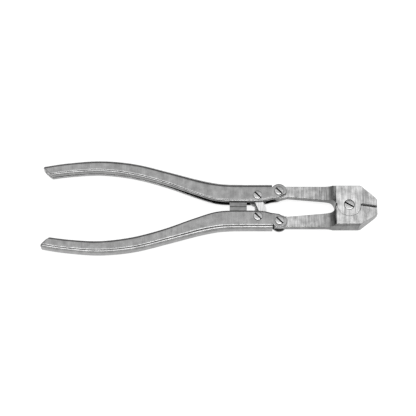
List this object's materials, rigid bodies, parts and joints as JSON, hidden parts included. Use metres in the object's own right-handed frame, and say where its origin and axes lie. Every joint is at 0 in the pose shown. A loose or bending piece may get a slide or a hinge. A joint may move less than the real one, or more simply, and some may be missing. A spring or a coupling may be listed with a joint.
{
  "type": "grozing pliers",
  "caption": "Grozing pliers with compound levers: pressed steel channel handles, a lapped square head and short bevelled jaws.",
  "frame": {"origin": "on the jaw pivot's axis, in the plane of the head's lower flat face", "axes": "+X towards the tips of the jaws, +Y towards the upper jaw's handle, +Z out of the slotted screw heads"},
  "size_m": [0.1976, 0.0574, 0.0125],
  "materials": {
    "handle_steel": "satin",
    "lever_steel": "ground",
    "screw_steel": "bright",
    "link_steel": "bright",
    "block_steel": "dull"
  },
  "bodies": {
    "lower_handle": {"lower_handle": "handle_steel", "lower_toothed_block": "block_steel", "lower_stop_block": "block_steel", "lower_link_screw": "screw_steel", "lower_lever_screw": "screw_steel", "lower_lever_bush": "block_steel"},
    "link": {"handle_link": "link_steel"},
    "upper_handle": {"upper_handle": "handle_steel", "upper_toothed_block": "block_steel", "upper_stop_block": "block_steel", "upper_link_screw": "screw_steel", "upper_lever_screw": "screw_steel", "upper_lever_bush": "block_steel"},
    "lower_jaw": {"lower_jaw_lever": "lever_steel", "jaw_pivot_screw": "screw_steel"},
    "upper_jaw": {"upper_jaw_lever": "lever_steel"}
  },
  "joints": [
    {"name": "lower_link_pivot", "type": "hinge", "parent": "lower_handle", "child": "link", "pos_m": [-0.0536, -0.0066, 0.0062], "axis": [0, 0, -1], "range_deg": [0, 16]},
    {"name": "upper_link_pivot", "type": "hinge", "parent": "link", "child": "upper_handle", "pos_m": [-0.0536, 0.0066, 0.0062], "axis": [0, 0, -1], "range_deg": [0, 16]},
    {"name": "lower_lever_pivot", "type": "hinge", "parent": "lower_handle", "child": "lower_jaw", "pos_m": [-0.041, -0.0092, 0.0062], "axis": [0, 0, -1], "range_deg": [0, 21]},
    {"name": "jaw_pivot", "type": "hinge", "parent": "lower_jaw", "child": "upper_jaw", "pos_m": [0, 0, 0.0062], "axis": [0, 0, 1], "range_deg": [0, 10]}
  ],
  "couplings": [
    {"joint": "upper_link_pivot", "follows": "lower_link_pivot", "ratio": 1},
    {"joint": "lower_lever_pivot", "follows": "lower_link_pivot", "ratio": 1.3095},
    {"joint": "jaw_pivot", "follows": "lower_link_pivot", "ratio": 0.619}
  ]
}
